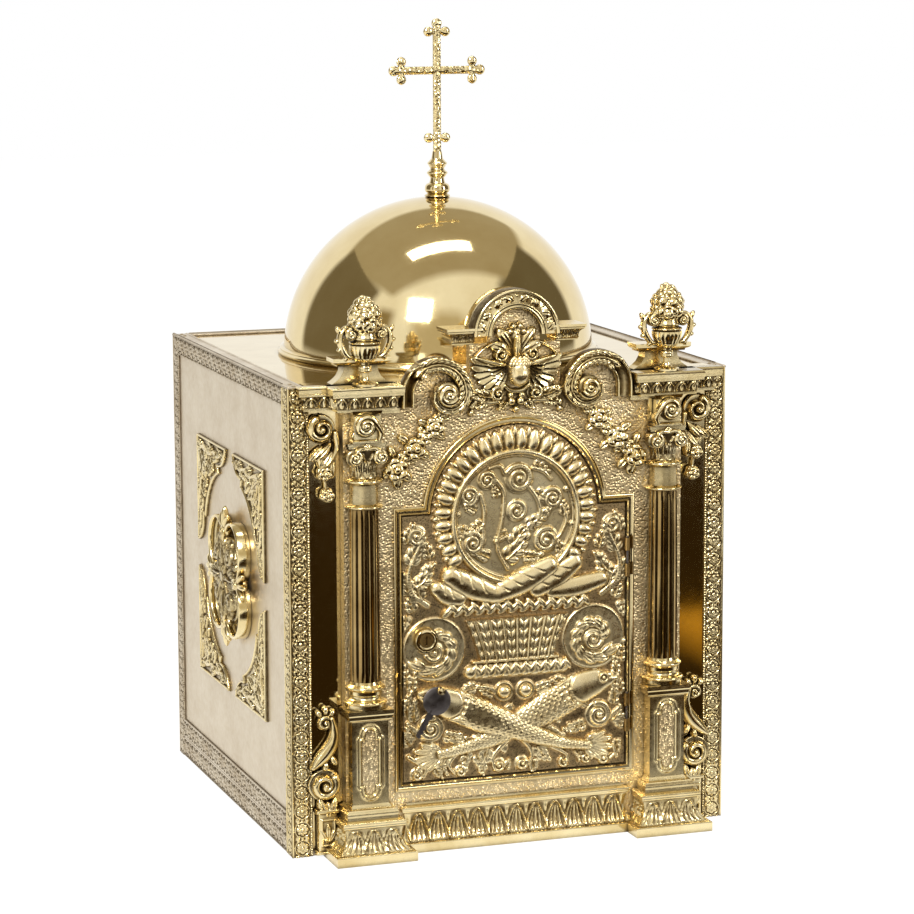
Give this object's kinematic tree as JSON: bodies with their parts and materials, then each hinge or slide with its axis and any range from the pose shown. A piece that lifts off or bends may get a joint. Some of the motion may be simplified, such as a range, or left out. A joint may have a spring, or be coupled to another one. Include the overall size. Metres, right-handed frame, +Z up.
{
  "type": "altar tabernacle",
  "caption": "Domed brass altar tabernacle: casket with classical facade, arched relief door on hinges, cam lock, hanging key, urns and a budded cross.",
  "frame": {"origin": "on the surface that the base plate rests on, under the middle of the dome", "axes": "+Z up, the facade and its door look along -Y, +X to the right of someone facing the door"},
  "size_m": [0.36, 0.368, 0.6008],
  "materials": {
    "polished_brass": "mirror polished, lacquered",
    "cast_brass": "cast ornament, polished highs and brown patina in the recesses",
    "embossed_brass": "embossed sheet, polished highs and dull stippled ground",
    "dark_polished_brass": "polished and darkened, fluted",
    "stippled_brass": "finely stippled, matt",
    "satin_brass": "plain sheet, satin",
    "weathered_edging": "embossed strip, greyed with age",
    "lining_brass": "plain sheet, satin",
    "dark_steel": "dark, worn",
    "hinge_brass": "machined, dull"
  },
  "bodies": {
    "casket": {"base_plate": "satin_brass", "roof_plate": "polished_brass", "side_panel_right": "satin_brass", "side_panel_left": "satin_brass", "back_panel": "satin_brass", "front_wall": "polished_brass", "inner_floor": "lining_brass", "corner_strip_right": "cast_brass", "corner_strip_left": "cast_brass", "side_strip_right": "weathered_edging", "side_strip_left": "weathered_edging", "back_strip": "weathered_edging", "front_top_strip": "cast_brass", "side_corner_upper_front_right": "cast_brass", "side_corner_upper_front_left": "cast_brass", "side_corner_upper_back_right": "cast_brass", "side_corner_upper_back_left": "cast_brass", "side_corner_lower_front_right": "cast_brass", "side_corner_lower_front_left": "cast_brass", "side_corner_lower_back_right": "cast_brass", "side_corner_lower_back_left": "cast_brass", "side_medallion_right": "cast_brass", "side_medallion_left": "cast_brass", "facade_plate": "stippled_brass", "door_frame": "polished_brass", "plinth": "cast_brass", "pedestal_right": "cast_brass", "pedestal_left": "cast_brass", "column_right": "dark_polished_brass", "column_left": "dark_polished_brass", "entablature_right": "cast_brass", "entablature_left": "cast_brass", "attic_block_right": "cast_brass", "attic_block_left": "cast_brass", "urn_right": "cast_brass", "urn_left": "cast_brass", "scroll_arm_right": "cast_brass", "scroll_arm_left": "cast_brass", "upper_bracket_right": "cast_brass", "upper_bracket_left": "cast_brass", "lower_bracket_right": "cast_brass", "lower_bracket_left": "cast_brass", "pediment_crown": "cast_brass", "cherub": "cast_brass", "dome_shell": "polished_brass", "dome_ring": "polished_brass", "finial": "polished_brass", "finial_nut": "dark_steel", "cross": "cast_brass", "hinge_leaf_upper": "hinge_brass", "hinge_pin_upper": "dark_steel", "hinge_leaf_lower": "hinge_brass", "hinge_pin_lower": "dark_steel"},
    "door": {"door_leaf": "embossed_brass", "door_lining": "lining_brass", "lock_barrel": "polished_brass", "key_peg": "polished_brass"},
    "lock": {"lock_plug": "dark_steel"},
    "key": {"key": "dark_steel"}
  },
  "joints": [
    {"name": "door_hinge", "type": "hinge", "parent": "casket", "child": "door", "pos_m": [0.0874, -0.1763, 0.15], "axis": [0, 0, 1], "range_deg": [0, 95]},
    {"name": "lock_turn", "type": "hinge", "parent": "door", "child": "lock", "pos_m": [-0.07, -0.17, 0.157], "axis": [0, -1, 0], "range_deg": [0, 90]},
    {"name": "key_swing", "type": "hinge", "parent": "door", "child": "key", "pos_m": [-0.062, -0.1855, 0.121], "axis": [0, -1, 0], "continuous": true}
  ]
}
